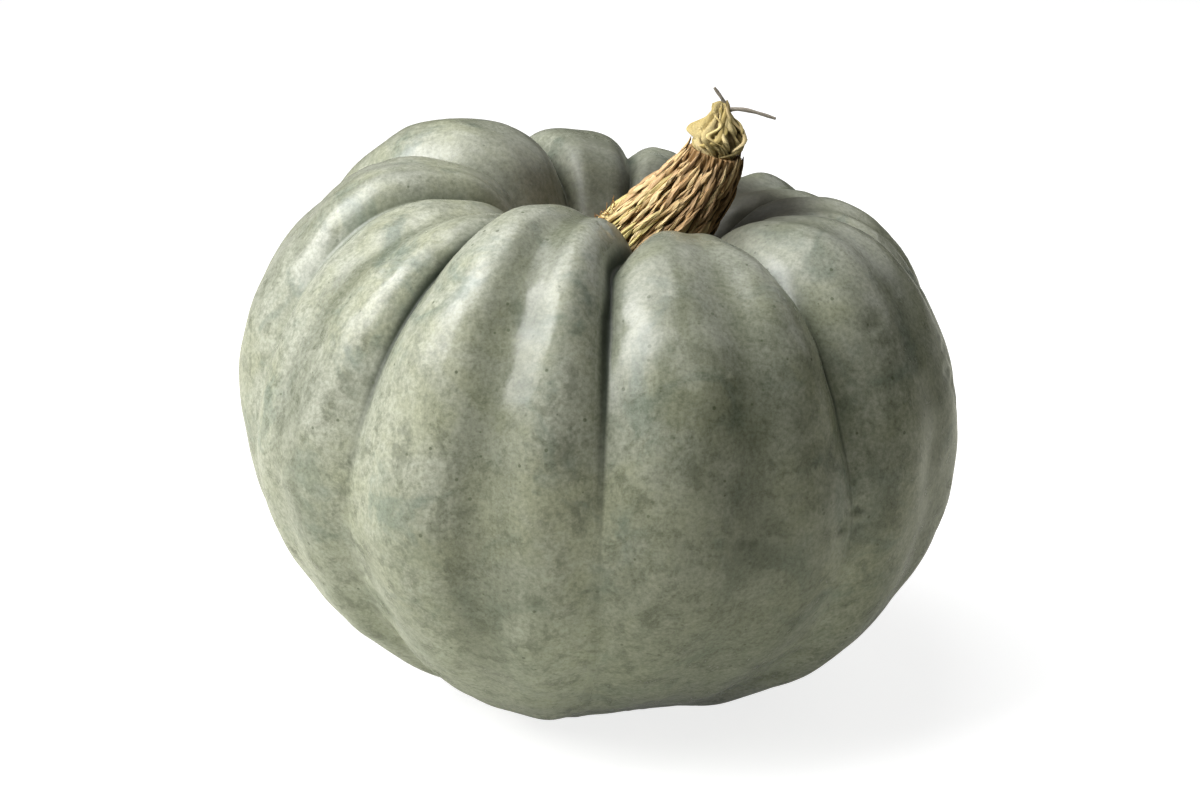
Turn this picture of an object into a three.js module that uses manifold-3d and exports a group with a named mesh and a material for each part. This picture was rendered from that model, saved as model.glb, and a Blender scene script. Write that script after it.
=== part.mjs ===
// A ribbed grey-green pumpkin with its dried, corky stem. Millimetres, +Z up.
// The fruit stands on a flat spot at z = 0, and the origin is on that spot, below the middle of the belly.
// Angles round the fruit run from -Y, its front, towards +X. The growth axis and the stem lean towards +X.
import * as THREE from "three";
import { mergeVertices } from "three/addons/utils/BufferGeometryUtils.js";
import Module from "manifold-3d";

const wasm = await Module();
wasm.setup();

const { degToRad, euclideanModulo, lerp, seededRandom, smoothstep } = THREE.MathUtils;

// Fruit: its outline over the crests of the lobes, with heights along the growth axis
const BELLY_RADIUS = 139;
const BELLY_HEIGHT = 113;
const SHOULDER_RADIUS = 76;
const SHOULDER_HEIGHT = 205;
const CAVITY_FLOOR = 164;
const CAVITY_FLOOR_REACH = 0.72;
const CAVITY_WALL_REACH = 0.34;
const FOOT_RADIUS = 18;
const BLOSSOM_DIMPLE = 11;
const UPPER_FULLNESS = 0.56;
const LOWER_FULLNESS = 0.49;
const FRUIT_ROWS = 36;

// How the fruit stands: it turns about a point on its axis, which ends up at this height
const LEAN = degToRad(8);
const TURNING_POINT = 110;
const STANDING_HEIGHT = 105;

// One row per lobe, going round from the front: the furrow on its near side (angle, sway down its length
// and hook beside the stem in degrees, depth), the groove that splits it (place across the lobe from 0 to 1,
// depth), its rise at the shoulder and its tuck underneath
const LOBES = [
  { furrow: 0, sway: 9, hook: 14, depth: 14, split: 0.55, groove: 3, rise: -2, tuck: 4.5 },
  { furrow: 42, sway: 10, hook: 0, depth: 14, split: 0.5, groove: 2.5, rise: 3, tuck: -3 },
  { furrow: 82, sway: 0, hook: 0, depth: 14, split: 0.45, groove: 3, rise: -2.5, tuck: -2 },
  { furrow: 113, sway: -3, hook: 0, depth: 13, split: 0.55, groove: 3, rise: -6, tuck: 0 },
  { furrow: 145, sway: 0, hook: 0, depth: 13, split: 0.5, groove: 2, rise: -6, tuck: 0 },
  { furrow: 182, sway: 5, hook: 0, depth: 10, split: 0.5, groove: 0.5, rise: -2, tuck: 0 },
  { furrow: 211, sway: 3, hook: 0, depth: 13, split: 0.5, groove: 1, rise: 4, tuck: 0 },
  { furrow: 255, sway: -4, hook: 0, depth: 13, split: 0.5, groove: 0.5, rise: -3.5, tuck: 0 },
  { furrow: 288, sway: 2, hook: 0, depth: 13, split: 0.5, groove: 2, rise: -12, tuck: -1 },
  { furrow: 318, sway: -3, hook: 0, depth: 15, split: 0.58, groove: 6, rise: 2, tuck: -1.5 },
];
const LOBE_COLUMNS = 12;
const FURROW_CROWDING = 0.35;
const CREST_SQUARENESS = 4;
const SHOULDER_SQUARENESS = 2.4;
const STEEP_SQUARENESS = 3.8;
const BELLY_SQUARENESS = 2;
const GROOVE_WIDTH = 0.28;

// Stem: a corky stalk that rises out of the cavity, bends over and straightens again
const STEM_AXIS = new THREE.CubicBezierCurve3(
  new THREE.Vector3(5, 0, 146),
  new THREE.Vector3(9, 0, 175),
  new THREE.Vector3(38.5, 0, 189),
  new THREE.Vector3(44, 0, 209),
);
const STEM_FOOT_RADIUS = 24;
const STEM_RIM_RADIUS = 11;
const STEM_TAPER = 0.95;
const STEM_ROWS = 26;
const RIM_WALL = 2;
const CUP_DEPTH = 3;

// Cork: strips along the stem, each broken into plates that thicken upwards like shingles
const CORK_STRIPS = 18;
const STRIP_COLUMNS = 4;
const CORK_DEPTH = 2.2;
const CORK_TWIST = 1.5;
const CORK_SWAY = 0.5;
const CORK_PLATES = 4;
const CORK_SEED = 7;

// Torn end: the wrinkled fibre core that was left when the stem snapped off the vine
const END_AXIS = new THREE.QuadraticBezierCurve3(
  new THREE.Vector3(44, 0, 209),
  new THREE.Vector3(46.5, 0, 218.1),
  new THREE.Vector3(45.6, 0, 228),
);
const END_RADII = [8.6, 10.2, 10.5, 8.8, 5.6, 3.5, 2.4];
const END_COLUMNS = 40;
const END_ROWS = 14;
const END_WRINKLES = 7;
const END_WRINKLE_DEPTH = 0.13;
const END_TWIST = 2.4;

// Dry strands that stand out of the torn end
const STRAND_RADIUS = 0.8;
const STRAND_SIDES = 6;
const STRAND_STEPS = 8;
const STRANDS = [
  [
    [48, 0, 223],
    [47.5, -1, 227],
    [45.2, -1.5, 231],
    [43, -1.5, 234],
  ],
  [
    [47.5, -1, 225],
    [50, -2, 226.8],
    [57, -2.5, 225.2],
    [66, -3, 222.5],
  ],
];

const JOINT_GAP = 0.3;

const RIND = { color: 0x8d9680, roughness: 0.5, metalness: 0 };
const CORK = { color: 0xb0905f, roughness: 0.9, metalness: 0 };
const FIBRE = { color: 0xc4b06f, roughness: 0.85, metalness: 0 };

// A geometry reduced to its positions, with its seams and poles closed
function closed(geometry) {
  const bare = geometry.clone();
  bare.deleteAttribute("normal");
  bare.deleteAttribute("uv");
  const merged = mergeVertices(bare, 1e-3);
  const corners = merged.index.array;
  const kept = [];
  for (let i = 0; i < corners.length; i += 3) {
    const [a, b, c] = corners.subarray(i, i + 3);
    if (a !== b && b !== c && c !== a) kept.push(a, b, c);
  }
  return merged.setIndex(kept);
}

function solid(geometry) {
  const { attributes, index } = closed(geometry);
  const vertProperties = attributes.position.array;
  const triVerts = new Uint32Array(index.array);
  return new wasm.Manifold(new wasm.Mesh({ numProp: 3, vertProperties, triVerts }));
}

function geometryOf(made) {
  const { vertProperties, triVerts } = made.getMesh();
  const geometry = new THREE.BufferGeometry();
  geometry.setAttribute("position", new THREE.BufferAttribute(vertProperties, 3));
  geometry.setIndex(new THREE.BufferAttribute(triVerts, 1));
  geometry.computeVertexNormals();
  return geometry;
}

function named(name, geometry, finish) {
  const mesh = new THREE.Mesh(geometry, new THREE.MeshStandardMaterial(finish));
  mesh.name = name;
  return mesh;
}

// The fruit's outline in a plane through its axis, from the cavity's floor over the shoulder and the belly
// to the blossom end
function fruitOutline() {
  const outline = new THREE.Path();
  outline.moveTo(0, CAVITY_FLOOR);
  outline.bezierCurveTo(
    SHOULDER_RADIUS * CAVITY_FLOOR_REACH, CAVITY_FLOOR,
    SHOULDER_RADIUS * CAVITY_WALL_REACH, SHOULDER_HEIGHT,
    SHOULDER_RADIUS, SHOULDER_HEIGHT,
  );
  outline.bezierCurveTo(
    lerp(SHOULDER_RADIUS, BELLY_RADIUS, UPPER_FULLNESS), SHOULDER_HEIGHT,
    BELLY_RADIUS, lerp(BELLY_HEIGHT, SHOULDER_HEIGHT, UPPER_FULLNESS),
    BELLY_RADIUS, BELLY_HEIGHT,
  );
  outline.bezierCurveTo(
    BELLY_RADIUS, lerp(BELLY_HEIGHT, 0, LOWER_FULLNESS),
    lerp(FOOT_RADIUS, BELLY_RADIUS, LOWER_FULLNESS), 0,
    FOOT_RADIUS, 0,
  );
  outline.bezierCurveTo(FOOT_RADIUS / 2, 0, FOOT_RADIUS / 2, BLOSSOM_DIMPLE, 0, BLOSSOM_DIMPLE);
  return outline;
}

// How much of each form shows at a share of the way down the outline, from the stem to the blossom end
const rising = (share, from, to) => smoothstep(share, from, to);
const falling = (share, from, to) => 1 - smoothstep(share, from, to);
const furrowReach = (share) =>
  1.1 * rising(share, 0.02, 0.2) * (1 - 0.62 * rising(share, 0.25, 0.6)) * falling(share, 0.68, 0.92);
const grooveReach = (share) =>
  rising(share, 0.1, 0.3) * (1 - 0.3 * rising(share, 0.4, 0.65)) * falling(share, 0.6, 0.86);
const shoulderReach = (share) => rising(share, 0.04, 0.22) * falling(share, 0.25, 0.5);
const tuckReach = (share) => rising(share, 0.52, 0.72) * falling(share, 0.8, 0.97);
const hookReach = (share) => falling(share, 0.08, 0.26);

// Where a lobe's near furrow lies, as an angle in degrees
function furrowAngle(lobe, share) {
  return lobe.furrow + lobe.sway * (2 * share - 1) + lobe.hook * hookReach(share);
}

// How far the rind lies below the outline, at a place across a lobe from -1 to 1, its two furrows.
// A lobe is a rounded crest with a shallow groove down it, boxier beside the stem. Its furrows are sharp
// creases on the shoulder, steeper on the lobe's far side, and soft waves on the belly.
function rindDepth(lobe, next, across, share) {
  const flank = across < 0 ? SHOULDER_SQUARENESS : STEEP_SQUARENESS;
  const crease = Math.abs(across) ** lerp(CREST_SQUARENESS, flank, rising(share, 0.12, 0.35));
  const wave = (1 - Math.cos(Math.PI * Math.abs(across) ** BELLY_SQUARENESS)) / 2;
  const furrow = (across < 0 ? lobe.depth : next.depth) * lerp(crease, wave, rising(share, 0.3, 0.62));
  const fromGroove = (across - (2 * lobe.split - 1)) / GROOVE_WIDTH;
  const groove = lobe.groove * Math.exp(-fromGroove * fromGroove);
  const crest = 1 - across * across;
  const lift = lobe.rise * shoulderReach(share) - lobe.tuck * tuckReach(share);
  return furrow * furrowReach(share) + groove * grooveReach(share) - crest * lift;
}

// The fruit, grown outwards by a given distance: its outline turned round the axis with columns that follow
// the furrows, sunk by the rind's depth, leaned, stood on the ground and pressed flat where it meets it
function fruitGeometry(grown) {
  const outline = fruitOutline().getSpacedPoints(FRUIT_ROWS).reverse();
  const geometry = new THREE.LatheGeometry(outline, LOBES.length * LOBE_COLUMNS);
  const { position, normal } = geometry.attributes;
  const growthAxis = new THREE.Vector3(0, 0, 1);
  const leanAxis = new THREE.Vector3(0, 1, 0);
  const point = new THREE.Vector3();
  for (let i = 0; i < position.count; i++) {
    const row = i % outline.length;
    const share = 1 - row / (outline.length - 1);
    const column = Math.floor(i / outline.length);
    const lobe = LOBES[Math.floor(column / LOBE_COLUMNS) % LOBES.length];
    const next = LOBES[(LOBES.indexOf(lobe) + 1) % LOBES.length];
    const even = (column % LOBE_COLUMNS) / LOBE_COLUMNS;
    const along = even - (FURROW_CROWDING * Math.sin(2 * Math.PI * even)) / (2 * Math.PI);
    const width = euclideanModulo(furrowAngle(next, share) - furrowAngle(lobe, share), 360);
    const angle = degToRad(furrowAngle(lobe, share) + along * width);
    const atPole = share === 0 || share === 1;
    const out = atPole ? 0 : normal.getZ(row);
    const up = atPole ? 1 - 2 * share : normal.getY(row);
    const raised = grown - rindDepth(lobe, next, 2 * along - 1, share);
    point.set(0, -outline[row].x - raised * out, outline[row].y + raised * up - TURNING_POINT);
    point.applyAxisAngle(growthAxis, angle).applyAxisAngle(leanAxis, LEAN);
    position.setXYZ(i, point.x, point.y, Math.max(point.z + STANDING_HEIGHT, -grown));
  }
  return geometry;
}

// A closed skin round a curve in the XZ plane. ringAt gives, for each row and column, the place along the
// curve, an offset along the curve's direction, the radius and the angle; the end rows shrink to points.
function skinAround(axis, rows, columns, ringAt) {
  const sleeve = Array.from({ length: rows + 1 }, (_, row) => new THREE.Vector2(1, row));
  const geometry = new THREE.LatheGeometry(sleeve, columns);
  const { position } = geometry.attributes;
  for (let i = 0; i < position.count; i++) {
    const ring = ringAt(i % (rows + 1), Math.floor(i / (rows + 1)) % columns);
    const point = axis.getPointAt(ring.place);
    const along = axis.getTangentAt(ring.place);
    const across = new THREE.Vector3(along.z, 0, -along.x);
    point.addScaledVector(along, ring.offset);
    point.addScaledVector(across, ring.radius * Math.sin(ring.angle));
    point.y -= ring.radius * Math.cos(ring.angle);
    position.setXYZ(i, point.x, point.y, point.z);
  }
  return geometry;
}

// The stem's corky stalk, with a shallow cup in its top that holds the torn end.
// Its columns follow the cork strips, so that a crack runs down between each two of them.
function stemGeometry() {
  const columns = CORK_STRIPS * STRIP_COLUMNS;
  const wallRows = STEM_ROWS - 4;
  const cup = STEM_RIM_RADIUS - RIM_WALL;
  return skinAround(STEM_AXIS, STEM_ROWS, columns, (row, column) => {
    const share = Math.min(Math.max(row - 1, 0) / wallRows, 1);
    const sway = CORK_SWAY * Math.sin(4 * Math.PI * share + (6 * Math.PI * column) / columns);
    const angle = ((2 * Math.PI) / CORK_STRIPS) * (column / STRIP_COLUMNS + CORK_TWIST * share + sway);
    if (row === 0) return { place: 0, offset: 0, radius: 0, angle };
    if (row === STEM_ROWS) return { place: 1, offset: -CUP_DEPTH, radius: 0, angle };
    if (row === STEM_ROWS - 1) return { place: 1, offset: -CUP_DEPTH, radius: cup, angle };
    if (row === STEM_ROWS - 2) return { place: 1, offset: 0, radius: cup, angle };
    const across = (2 * (column % STRIP_COLUMNS)) / STRIP_COLUMNS - 1;
    const start = seededRandom(CORK_SEED + Math.floor(column / STRIP_COLUMNS));
    const plate = (CORK_PLATES * share + start) % 1;
    const cork = CORK_DEPTH * (1 - Math.abs(across) ** 3) * (0.5 + 0.5 * plate);
    const stalk = lerp(STEM_FOOT_RADIUS, STEM_RIM_RADIUS, share ** STEM_TAPER);
    const radius = stalk - CORK_DEPTH / 2 + (cork * stalk) / STEM_FOOT_RADIUS;
    return { place: share, offset: 0, radius, angle };
  });
}

// The torn end: a plug that fills the stem's cup, then a bulb of wrinkled fibres drawn in to a point
function endGeometry() {
  const plug = STEM_RIM_RADIUS - RIM_WALL - JOINT_GAP;
  const outline = new THREE.SplineCurve(END_RADII.map((radius, i) => new THREE.Vector2(i, radius)));
  return skinAround(END_AXIS, END_ROWS, END_COLUMNS, (row, column) => {
    const angle = (2 * Math.PI * column) / END_COLUMNS;
    if (row === 0) return { place: 0, offset: JOINT_GAP - CUP_DEPTH, radius: 0, angle };
    if (row === 1) return { place: 0, offset: JOINT_GAP - CUP_DEPTH, radius: plug, angle };
    if (row === 2) return { place: 0, offset: JOINT_GAP, radius: plug, angle };
    if (row === END_ROWS) return { place: 1, offset: 0, radius: 0, angle };
    const share = (row - 3) / (END_ROWS - 4);
    const twisted = END_WRINKLES * angle + END_TWIST * Math.sin(Math.PI * share);
    const radius = outline.getPoint(share).y * (1 + END_WRINKLE_DEPTH * Math.sin(twisted));
    return { place: share, offset: JOINT_GAP * (1 - share), radius, angle };
  });
}

// One dry strand, swept along a smooth curve through its points
function strandGeometry(points) {
  const corners = Array.from({ length: STRAND_SIDES }, (_, side) => {
    const angle = (2 * Math.PI * side) / STRAND_SIDES;
    return new THREE.Vector2(STRAND_RADIUS * Math.cos(angle), STRAND_RADIUS * Math.sin(angle));
  });
  const extrudePath = new THREE.CatmullRomCurve3(points.map((point) => new THREE.Vector3(...point)));
  return new THREE.ExtrudeGeometry(new THREE.Shape(corners), { steps: STRAND_STEPS, extrudePath });
}

const stem = solid(stemGeometry()).subtract(solid(fruitGeometry(JOINT_GAP)));
let stemEnd = solid(endGeometry());
for (const points of STRANDS) {
  stemEnd = stemEnd.add(solid(strandGeometry(points)));
}

const pumpkin = new THREE.Group();
pumpkin.add(named("fruit", closed(fruitGeometry(0)), RIND));
pumpkin.add(named("stem", geometryOf(stem), CORK));
pumpkin.add(named("stem_end", geometryOf(stemEnd), FIBRE));

export default pumpkin;
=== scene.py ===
# %% [markdown]
# # A grey-green ribbed pumpkin
# A large winter pumpkin with a waxy rind, deep furrows and a dried, corky stem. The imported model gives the
# size and the frame. Here each of its solids gets a finer surface of the same form, and a finish of its own.

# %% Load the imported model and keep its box
import math

import bpy
import numpy as np
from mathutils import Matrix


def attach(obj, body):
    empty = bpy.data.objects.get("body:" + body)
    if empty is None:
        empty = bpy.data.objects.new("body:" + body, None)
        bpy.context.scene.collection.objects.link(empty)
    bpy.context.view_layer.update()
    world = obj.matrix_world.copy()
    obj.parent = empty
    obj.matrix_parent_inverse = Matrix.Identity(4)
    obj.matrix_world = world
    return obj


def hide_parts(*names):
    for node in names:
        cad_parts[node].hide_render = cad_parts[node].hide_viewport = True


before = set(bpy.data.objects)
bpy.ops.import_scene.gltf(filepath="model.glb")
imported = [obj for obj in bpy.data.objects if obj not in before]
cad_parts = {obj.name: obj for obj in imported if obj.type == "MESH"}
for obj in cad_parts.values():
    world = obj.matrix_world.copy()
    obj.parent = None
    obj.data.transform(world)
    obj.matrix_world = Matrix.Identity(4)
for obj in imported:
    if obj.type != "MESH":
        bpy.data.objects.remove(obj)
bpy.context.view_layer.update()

MM = 0.001

# %% [markdown]
# ## Camera, light and floor
# The fruit is seen from a little above, through a long lens, so its lobes keep their true proportions. Three
# soft lights shine from the left: one low at its side, one at its shoulder and one above. A weak one behind
# it on the right parts its edge from the shade. They come first, so that every piece can be judged in the
# same light as it is made.

# %% Place the camera
LENS = 80
SENSOR_WIDTH = 36
CAMERA_DISTANCE = 1.03
CAMERA_ELEVATION = math.radians(18.5)
AIM = np.array([0.6, 0, 111.2]) * MM

scene = bpy.context.scene
camera = bpy.data.objects.new("camera", bpy.data.cameras.new("camera"))
camera.data.lens = LENS
camera.data.sensor_width = SENSOR_WIDTH
sight = np.array([0, math.cos(CAMERA_ELEVATION), -math.sin(CAMERA_ELEVATION)])
camera.location = AIM - CAMERA_DISTANCE * sight
camera.rotation_euler = (math.pi / 2 - CAMERA_ELEVATION, 0, 0)
scene.collection.objects.link(camera)
scene.camera = camera
scene.view_settings.view_transform = "Standard"
print("camera at", [round(value, 3) for value in camera.location])

# %% Hang the soft lights and brighten the room
from mathutils import Vector

MIDDLE = Vector((0, 0, 0.11))


def soft_light(name, azimuth, elevation, distance, size, power):
    """A rectangular lamp that shines at the fruit's middle, from an azimuth that runs from -Y towards +X."""
    azimuth, elevation = math.radians(azimuth), math.radians(elevation)
    level = math.cos(elevation)
    way = Vector((level * math.sin(azimuth), -level * math.cos(azimuth), math.sin(elevation)))
    lamp = bpy.data.lights.new(name, "AREA")
    lamp.shape = "RECTANGLE"
    lamp.size, lamp.size_y = size
    lamp.energy = power
    held = bpy.data.objects.new(name, lamp)
    held.location = MIDDLE + way * distance
    held.rotation_euler = way.to_track_quat("Z", "Y").to_euler()
    scene.collection.objects.link(held)


soft_light("side_light", azimuth=-82, elevation=8, distance=1.5, size=(1.6, 1.4), power=7.5)
soft_light("shoulder_light", azimuth=-67, elevation=45, distance=1.3, size=(0.95, 0.9), power=23.5)
soft_light("top_light", azimuth=-100, elevation=72, distance=1.4, size=(1.3, 1.3), power=17)
soft_light("back_light", azimuth=128, elevation=40, distance=1.5, size=(1.6, 1.2), power=4.5)

ROOM_BRIGHTNESS = 0.01
room = bpy.data.worlds.new("pale_room")
room.use_nodes = True
room.node_tree.nodes["Background"].inputs["Color"].default_value = (1, 1, 1, 1)
room.node_tree.nodes["Background"].inputs["Strength"].default_value = ROOM_BRIGHTNESS
scene.world = room

# %% [markdown]
# ## Helpers for meshes
# Every piece is a bundle of closed tubes: rings of points, one after the other, with both ends drawn to a
# point. The fruit is one short fat tube and a splinter of bark is one thin tube. The rings are numpy arrays,
# so thousands of points are worked out in one line, and one helper turns any such array into a mesh.

# %% Turn rings of points into a mesh


def with_ends(values):
    """Adds a value for each end to tube arrays shaped (tube, ring, side, ...): the mean of the end rings."""
    tubes, rings, sides = values.shape[:3]
    flat = values.reshape(tubes, rings * sides, *values.shape[3:])
    first = values[:, 0].mean(axis=1, keepdims=True)
    last = values[:, -1].mean(axis=1, keepdims=True)
    return np.concatenate([flat, first, last], axis=1)


def tube_faces(tubes, rings, sides):
    """Faces of closed tubes: four-sided between the rings, three-sided to the end points, all facing out."""
    side = np.arange(sides)
    after = (side + 1) % sides
    ring = np.arange(rings - 1)[:, None] * sides
    above = ring + sides
    walls = np.stack([ring + side, ring + after, above + after, above + side], -1).reshape(-1, 4)
    top = (rings - 1) * sides
    first = np.full(sides, rings * sides)
    bottom_fan = np.stack([first, after, side], -1)
    top_fan = np.stack([first + 1, top + side, top + after], -1)
    fans = np.concatenate([bottom_fan, top_fan])
    start = np.arange(tubes)[:, None, None] * (rings * sides + 2)
    return (walls + start).reshape(-1, 4), (fans + start).reshape(-1, 3)


def tube_piece(name, points, material, values, smooth=True):
    """One piece from tube points shaped (tube, ring, side, 3), with named values that its material reads."""
    walls, fans = tube_faces(*points.shape[:3])
    corners = with_ends(points).reshape(-1, 3)
    mesh = bpy.data.meshes.new(name)
    mesh.from_pydata(corners.tolist(), [], walls.tolist() + fans.tolist())
    mesh.polygons.foreach_set("use_smooth", np.full(len(mesh.polygons), smooth))
    for label, value in values.items():
        kind = "FLOAT_VECTOR" if value.ndim == 4 else "FLOAT"
        field = "vector" if value.ndim == 4 else "value"
        attribute = mesh.attributes.new(label, kind, "POINT")
        attribute.data.foreach_set(field, with_ends(value).astype(np.float32).ravel())
    mesh.materials.append(material)
    mesh.validate()
    piece = bpy.data.objects.new(name, mesh)
    scene.collection.objects.link(piece)
    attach(piece, "root")
    mesh.calc_loop_triangles()
    print(name, len(mesh.vertices), "points", len(mesh.loop_triangles), "triangles")
    return piece


# %% [markdown]
# ## Helpers for finishes
# A finish is a chain of shader nodes. These helpers add one node each and return its output, so a material
# reads from top to bottom like a recipe: a noise here, a mix there, and at the end the skin's own shader.

# %% Short names for the shader nodes
FIRST_COLOUR = 6
SECOND_COLOUR = 7
MIXED_COLOUR = 2


def put(socket, value):
    """Sets a socket: links an output to it, or gives it a number or a colour."""
    if isinstance(value, bpy.types.NodeSocket):
        socket.id_data.links.new(value, socket)
    else:
        socket.default_value = value


def noise(tree, place, scale, detail, roughness=0.55, distortion=0.0):
    """Cloudy noise from 0 to 1, with scale in clouds per metre."""
    made = tree.nodes.new("ShaderNodeTexNoise")
    put(made.inputs["Vector"], place)
    put(made.inputs["Scale"], scale)
    put(made.inputs["Detail"], detail)
    put(made.inputs["Roughness"], roughness)
    put(made.inputs["Distortion"], distortion)
    return made.outputs["Fac"]


def spread(tree, value, low, high, to_low=0.0, to_high=1.0):
    """Eases a value from one range to another: smooth at both ends, and flat beyond them."""
    made = tree.nodes.new("ShaderNodeMapRange")
    made.interpolation_type = "SMOOTHSTEP"
    put(made.inputs["Value"], value)
    put(made.inputs["From Min"], low)
    put(made.inputs["From Max"], high)
    put(made.inputs["To Min"], to_low)
    put(made.inputs["To Max"], to_high)
    return made.outputs["Result"]


def arithmetic(tree, operation, first, second):
    """Adds, multiplies or otherwise joins two values."""
    made = tree.nodes.new("ShaderNodeMath")
    made.operation = operation
    put(made.inputs[0], first)
    put(made.inputs[1], second)
    return made.outputs[0]


def blend(tree, share, first, second, way="MIX"):
    """Goes from the first colour to the second by a share from 0 to 1."""
    made = tree.nodes.new("ShaderNodeMix")
    made.data_type = "RGBA"
    made.blend_type = way
    put(made.inputs["Factor"], share)
    put(made.inputs[FIRST_COLOUR], first)
    put(made.inputs[SECOND_COLOUR], second)
    return made.outputs[MIXED_COLOUR]


def colour_ramp(tree, value, stops):
    """Looks a value up in a row of (place, colour) stops."""
    made = tree.nodes.new("ShaderNodeValToRGB")
    stretch = made.color_ramp.elements
    while len(stretch) < len(stops):
        stretch.new(0.5)
    for element, (place, colour) in zip(stretch, stops):
        element.position = place
        element.color = colour
    put(made.inputs["Fac"], value)
    return made.outputs["Color"]


def piece_value(tree, label, field="Fac"):
    """Reads one of the named values that a piece carries on its points."""
    made = tree.nodes.new("ShaderNodeAttribute")
    made.attribute_name = label
    return made.outputs[field]


def bumped(tree, height, distance):
    """Turns a height from 0 to 1 into small relief of a given distance."""
    made = tree.nodes.new("ShaderNodeBump")
    made.inputs["Distance"].default_value = distance
    put(made.inputs["Height"], height)
    return made.outputs["Normal"]


def new_finish(name):
    """An empty material: its node tree and its Principled shader."""
    material = bpy.data.materials.new(name)
    material.use_nodes = True
    return material, material.node_tree, material.node_tree.nodes["Principled BSDF"]


def tint(red, green, blue):
    """A colour with full opacity."""
    return (red, green, blue, 1.0)


# %% [markdown]
# ## Floor
# A plain pale floor, wide enough to fill the view and a hair below the fruit's flat spot. To the eye it
# glows, as a lit studio floor does, so the shade on it stays soft. The light that it sends up to the fruit is
# set apart from that: some of the lamps' light comes back, and a faint shine fills the shade under the belly.

# %% Lay the floor
FLOOR_HALF = 6.0
FLOOR_DROP = 0.0001
FLOOR_GLOW = 0.8
FLOOR_BOUNCE = tint(0.54, 0.54, 0.44)
FLOOR_SHINE = 0.13
FLOOR_GREY = tint(0.46, 0.46, 0.46)
FLOOR_PALE = tint(0.5, 0.5, 0.5)
floor_finish, floor_tree, floor_shader = new_finish("pale_floor")
floor_place = floor_tree.nodes.new("ShaderNodeTexCoord").outputs["Object"]
paleness = noise(floor_tree, floor_place, scale=3, detail=2)
put(floor_shader.inputs["Base Color"], blend(floor_tree, paleness, FLOOR_GREY, FLOOR_PALE))
floor_shader.inputs["Roughness"].default_value = 0.9
floor_shader.inputs["Emission Color"].default_value = tint(1, 1, 1)
floor_shader.inputs["Emission Strength"].default_value = FLOOR_GLOW
bounce = floor_tree.nodes.new("ShaderNodeBsdfDiffuse")
bounce.inputs["Color"].default_value = FLOOR_BOUNCE
shine = floor_tree.nodes.new("ShaderNodeEmission")
shine.inputs["Strength"].default_value = FLOOR_SHINE
sent_up = floor_tree.nodes.new("ShaderNodeAddShader")
put(sent_up.inputs[0], bounce.outputs["BSDF"])
put(sent_up.inputs[1], shine.outputs["Emission"])
seen = floor_tree.nodes.new("ShaderNodeMixShader")
put(seen.inputs["Fac"], floor_tree.nodes.new("ShaderNodeLightPath").outputs["Is Camera Ray"])
put(seen.inputs[1], sent_up.outputs["Shader"])
put(seen.inputs[2], floor_shader.outputs["BSDF"])
put(floor_tree.nodes["Material Output"].inputs["Surface"], seen.outputs["Shader"])
floor_mesh = bpy.data.meshes.new("floor")
floor_corners = np.array([(-1, -1, 0), (1, -1, 0), (1, 1, 0), (-1, 1, 0)]) * FLOOR_HALF
floor_corners = floor_corners - (0, 0, FLOOR_DROP)
floor_mesh.from_pydata(floor_corners.tolist(), [], [(0, 1, 2, 3)])
floor_mesh.materials.append(floor_finish)
floor = bpy.data.objects.new("floor", floor_mesh)
scene.collection.objects.link(floor)
print("floor", 2 * FLOOR_HALF, "m wide")

# %% [markdown]
# ## Fruit: the outline
# Cut through the middle, a pumpkin is a rounded half outline: up from the cavity's floor, over the shoulder,
# round the belly and in to the blossom end. It could be drawn as a curve and spun. Here four Bezier curves
# are read off evenly along their length, because the lobes are then counted in shares of that length.

# %% Draw the half outline
BELLY_RADIUS = 139
BELLY_HEIGHT = 113
SHOULDER_RADIUS = 76
SHOULDER_HEIGHT = 205
CAVITY_FLOOR = 164
FOOT_RADIUS = 18
BLOSSOM_DIMPLE = 11


def between(start, end, share):
    """A straight way from start to end."""
    return start + (end - start) * share


def bezier(corners, share):
    """A Bezier curve: every corner pulls with its Bernstein weight at that share."""
    last = len(corners) - 1
    pulls = [math.comb(last, k) * share**k * (1 - share) ** (last - k) for k in range(last + 1)]
    return np.stack(pulls, -1) @ np.asarray(corners, float)


def evenly(points, count):
    """The same path with points evenly spaced along its length."""
    steps = np.linalg.norm(np.diff(points, axis=0), axis=1)
    travelled = np.concatenate([[0], np.cumsum(steps)])
    wanted = np.linspace(0, travelled[-1], count)
    return np.stack([np.interp(wanted, travelled, axis) for axis in points.T], -1)


ARCS = [
    [
        (0, CAVITY_FLOOR),
        (SHOULDER_RADIUS * 0.72, CAVITY_FLOOR),
        (SHOULDER_RADIUS * 0.34, SHOULDER_HEIGHT),
        (SHOULDER_RADIUS, SHOULDER_HEIGHT),
    ],
    [
        (SHOULDER_RADIUS, SHOULDER_HEIGHT),
        (between(SHOULDER_RADIUS, BELLY_RADIUS, 0.56), SHOULDER_HEIGHT),
        (BELLY_RADIUS, between(BELLY_HEIGHT, SHOULDER_HEIGHT, 0.56)),
        (BELLY_RADIUS, BELLY_HEIGHT),
    ],
    [
        (BELLY_RADIUS, BELLY_HEIGHT),
        (BELLY_RADIUS, between(BELLY_HEIGHT, 0, 0.49)),
        (between(FOOT_RADIUS, BELLY_RADIUS, 0.49), 0),
        (FOOT_RADIUS, 0),
    ],
    [(FOOT_RADIUS, 0), (FOOT_RADIUS / 2, 0), (FOOT_RADIUS / 2, BLOSSOM_DIMPLE), (0, BLOSSOM_DIMPLE)],
]
ARC_STEPS = np.linspace(0, 1, 200)
outline = evenly(np.concatenate([bezier(arc, ARC_STEPS) for arc in ARCS]), 2001)
print("outline from", outline[0].round(1), "over", outline.max(axis=0).round(1), "to", outline[-1].round(1))

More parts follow.
